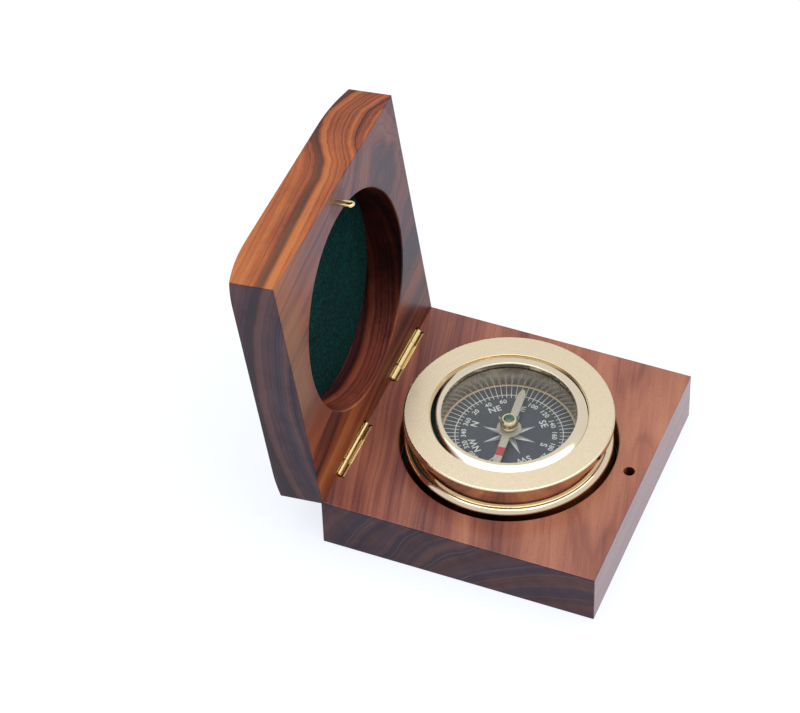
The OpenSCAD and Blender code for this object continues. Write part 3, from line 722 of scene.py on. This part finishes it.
# The dial: a thin metal disc with matt blue-black enamel, printed in white with a scale of
# degrees, the points of the compass and an eight-pointed star.
DIAL_TURN = math.radians(-1.8)
PRINT_T = 0.03 * MM
CIRCLE_SIDES = 240
INNER_CIRCLE_R, INNER_CIRCLE_WIDTH = 18.85 * MM, 0.30 * MM
OUTER_CIRCLE_R, OUTER_CIRCLE_WIDTH = 23.4 * MM, 0.32 * MM
LINE_COUNT, LINE_WIDTH = 72, 0.27 * MM
LINE_INNER, LINE_OUTER = 17.6 * MM, 23.5 * MM
LINE_TAPER = 0.6  # the width of its outer end against the inner one
NEAR = 0.01 * MM  # how close to its place an edge or a point is picked
NUMBER_R, NUMBER_SIZE = 15.85 * MM, 2.5 * MM
LETTER_R, LETTER_SIZE = 13.0 * MM, 3.5 * MM
STROKE_GROWTH = 0.016  # how much bolder the lettering is, against its size
POINTS = ("N", "NE", "E", "SE", "S", "SW", "W", "NW")
STAR_TIP, STAR_VALLEY = 9.85 * MM, 3.0 * MM
VALLEY_ANGLE = math.tau / 16
dial_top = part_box("dial_plate")[1].z

dial_black, tree, shader, place = finish_of("dial_black")
enamel = noise_of(tree, place, 700, 3)
drift = noise_of(tree, place, 60)
colour = ramp(tree, sum_of(tree, enamel, centred(tree, drift, 0.5)),
              ((0.35, (0.020, 0.024, 0.036)), (0.65, (0.032, 0.037, 0.054))))
tree.links.new(colour, shader.inputs["Base Color"])
tree.links.new(faded(tree, enamel, 0.3, 0.7, 0.5, 0.62), shader.inputs["Roughness"])
wear(tree, shader, enamel, 0.15, 0.03 * MM)
dress("dial_plate", dial_black)


def print_finish(name, light, dark):
    """Printing ink with a little unevenness."""
    material, tree, shader, place = finish_of(name)
    ink = noise_of(tree, place, 1800, 3)
    tree.links.new(ramp(tree, ink, ((0.35, dark), (0.6, light))), shader.inputs["Base Color"])
    tree.links.new(faded(tree, ink, 0.3, 0.7, 0.45, 0.6), shader.inputs["Roughness"])
    return material


white_ink = print_finish("white_ink", (0.72, 0.72, 0.71), (0.58, 0.59, 0.59))
grey_ink = print_finish("grey_ink", (0.34, 0.36, 0.40), (0.27, 0.29, 0.33))
beige_ink = print_finish("beige_ink", (0.72, 0.60, 0.44), (0.60, 0.50, 0.36))


def pick(piece, wanted, mode):
    """Selects only the edges or points of a piece in edit mode whose middle is wanted."""
    bpy.ops.mesh.select_mode(type=mode)
    bpy.ops.mesh.select_all(action="DESELECT")
    mesh = bmesh.from_edit_mesh(piece.data)
    for part in mesh.edges if mode == "EDGE" else mesh.verts:
        points = part.verts if mode == "EDGE" else [part]
        middle = sum((point.co for point in points), Vector()) / len(points)
        part.select_set(bool(wanted(middle)))
    bmesh.update_edit_mesh(piece.data)


def raise_print(piece):
    """Gives a flat print its thickness, upwards."""
    modify(piece, "SOLIDIFY", thickness=PRINT_T, offset=1)


def copy_round(piece, count):
    """Copies a piece round the middle of the dial, each copy with its own mesh."""
    copies = []
    for i in range(count):
        copy = piece.copy()
        copy.data = piece.data.copy()
        bpy.context.collection.objects.link(copy)
        copy.data.transform(Matrix.Rotation(-i * math.tau / count, 4, "Z"))
        copies.append(copy)
    bpy.data.objects.remove(piece)
    return copies


def as_one(pieces, name, ink):
    """Joins the printed marks of one kind and puts them on the dial."""
    alone(*pieces)
    bpy.ops.object.join()
    mark = bpy.context.object
    mark.name = name
    mark.data.transform(Matrix.Translation((0, 0, dial_top))
                        @ Matrix.Rotation(DIAL_TURN, 4, "Z"))
    mark.data.materials.clear()
    mark.data.materials.append(ink)
    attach(mark, "compass")


# Printed circles: the scale's inner circle and the line along the dial's edge
for name, radius, width, ink in (
        ("dial_inner_circle", INNER_CIRCLE_R, INNER_CIRCLE_WIDTH, white_ink),
        ("dial_outer_circle", OUTER_CIRCLE_R, OUTER_CIRCLE_WIDTH, beige_ink)):
    deselect()
    bpy.ops.mesh.primitive_circle_add(vertices=CIRCLE_SIDES, radius=radius + width / 2,
                                      fill_type="NGON")
    circle = bpy.context.object
    in_edit(circle)
    bpy.ops.mesh.inset(thickness=width)
    bpy.ops.mesh.delete(type="FACE")
    out_of_edit(circle, "circle")
    raise_print(circle)
    as_one([circle], name, ink)

# Printed degree lines, one every five degrees, each tapered outside the inner circle
deselect()
bpy.ops.mesh.primitive_plane_add(size=1)
line = bpy.context.object
line.scale = (LINE_WIDTH, LINE_OUTER - LINE_INNER, 1)
line.location = (0, (LINE_OUTER + LINE_INNER) / 2, 0)
bpy.ops.object.transform_apply(location=True, rotation=True, scale=True)
in_edit(line)
bpy.ops.mesh.bisect(plane_co=(0, INNER_CIRCLE_R, 0), plane_no=(0, 1, 0))
pick(line, lambda middle: abs(middle.y - LINE_OUTER) < NEAR, "EDGE")
bpy.ops.transform.resize(value=(LINE_TAPER, 1, 1))
out_of_edit(line, "line")
raise_print(line)
as_one(copy_round(line, LINE_COUNT), "dial_degree_lines", white_ink)


def lettered(text, size, place_r, clockwise):
    """One printed word with its top outwards, at an angle counted from the N."""
    deselect()
    bpy.ops.object.text_add()
    word = bpy.context.object
    word.data.body = text
    word.data.size = size
    word.data.align_x = "CENTER"
    word.data.align_y = "CENTER"
    word.data.resolution_u = 4
    word.data.offset = size * STROKE_GROWTH
    word.data.space_character = 1.06
    word.data.extrude = PRINT_T / 2
    bpy.ops.object.convert(target="MESH")
    word = bpy.context.object
    middle = (Vector(word.bound_box[0]) + Vector(word.bound_box[6])) / 2
    word.data.transform(Matrix.Rotation(-clockwise, 4, "Z")
                        @ Matrix.Translation((-middle.x, place_r - middle.y, PRINT_T / 2)))
    return word


as_one([lettered(str(degrees), NUMBER_SIZE, NUMBER_R, math.radians(degrees))
        for degrees in range(20, 361, 20)], "dial_numbers", white_ink)
as_one([lettered(point, LETTER_SIZE, LETTER_R, i * math.tau / len(POINTS))
        for i, point in enumerate(POINTS)], "dial_letters", white_ink)


# Printed star: each of the eight points has a white half and a grey half
def star_half(side):
    """Half of one point: from the middle to the tip, and out to the valley beside it."""
    deselect()
    bpy.ops.mesh.primitive_circle_add(vertices=3, radius=1 * MM, fill_type="NGON")
    half = bpy.context.object
    valley = Vector((side * math.sin(VALLEY_ANGLE), math.cos(VALLEY_ANGLE), 0))
    corners = (Vector((0, 0, 0)), Vector((0, STAR_TIP, 0)), valley * STAR_VALLEY)
    starts = [point.co.copy() for point in half.data.vertices]
    in_edit(half)
    for start, corner in zip(starts, corners):
        pick(half, lambda middle: (middle - start).length < NEAR, "VERT")
        bpy.ops.transform.translate(value=corner - start)
    out_of_edit(half, "half")
    if half.data.polygons[0].normal.z < 0:
        in_edit(half)
        bpy.ops.mesh.flip_normals()
        out_of_edit(half, "half")
    raise_print(half)
    return half


as_one(copy_round(star_half(1), len(POINTS)), "dial_star_light", white_ink)
as_one(copy_round(star_half(-1), len(POINTS)), "dial_star_shade", grey_ink)


# The pivot: a steel post with a fine point, turned and ground, pressed through the dial
# into the compass body.
pivot_steel, tree, shader, place = finish_of("pivot_steel")
ground = noise_of(tree, place, 4000)
tree.links.new(ramp(tree, ground, ((0.3, (0.42, 0.42, 0.44)), (0.7, (0.58, 0.58, 0.60)))),
               shader.inputs["Base Color"])
tree.links.new(faded(tree, ground, 0.3, 0.7, 0.2, 0.35), shader.inputs["Roughness"])
shader.inputs["Metallic"].default_value = 1.0
dress("pivot_post", pivot_steel)


# The needle: a stamped steel blade in pale enamel, with a red band towards its south end,
# a turned brass cap riveted through its hub and a green jewel on top.
NEEDLE_TURN = math.radians(5)
BAND_FROM, BAND_TO = -13.4 * MM, -9.4 * MM
BAND_EDGE, BAND_RAGGED = 0.04 * MM, 0.2 * MM
NEEDLE_PALE = ((0.35, (0.43, 0.375, 0.31)), (0.65, (0.55, 0.48, 0.40)))
NEEDLE_RED = ((0.35, (0.40, 0.010, 0.016)), (0.65, (0.50, 0.018, 0.026)))
JEWEL_GREENS = ((0.35, (0.004, 0.055, 0.026)), (0.65, (0.012, 0.12, 0.06)))

needle_paint, tree, shader, place = finish_of("needle_enamel")
straight = put(tree, "ShaderNodeMapping", {"Vector": place, "Rotation": (0, 0, -NEEDLE_TURN)})
along = put(tree, "ShaderNodeSeparateXYZ", {0: straight.outputs[0]}).outputs[0]
paint = noise_of(tree, place, 1500, 3)
ragged = sum_of(tree, along, centred(tree, paint, BAND_RAGGED))
band = product_of(tree, faded(tree, ragged, BAND_FROM - BAND_EDGE, BAND_FROM + BAND_EDGE),
                  faded(tree, ragged, BAND_TO + BAND_EDGE, BAND_TO - BAND_EDGE))
colour = tinted(tree, band, ramp(tree, paint, NEEDLE_PALE), ramp(tree, paint, NEEDLE_RED))
tree.links.new(colour, shader.inputs["Base Color"])
tree.links.new(faded(tree, paint, 0.3, 0.7, 0.32, 0.48), shader.inputs["Roughness"])
wear(tree, shader, paint, 0.2, 0.02 * MM)
dress("needle_blade", needle_paint)

cap_brass = brass_finish("cap_brass", (0.88, 0.74, 0.42), (0.74, 0.55, 0.26), 0.10)[0]
dress("needle_cap", cap_brass)

jewel_green, tree, shader, place = finish_of("jewel_green")
tree.links.new(ramp(tree, noise_of(tree, place, 500), JEWEL_GREENS),
               shader.inputs["Base Color"])
shader.inputs["Roughness"].default_value = 0.06
shader.inputs["IOR"].default_value = 1.6
shader.inputs["Transmission Weight"].default_value = 0.2
dress("needle_jewel", jewel_green)
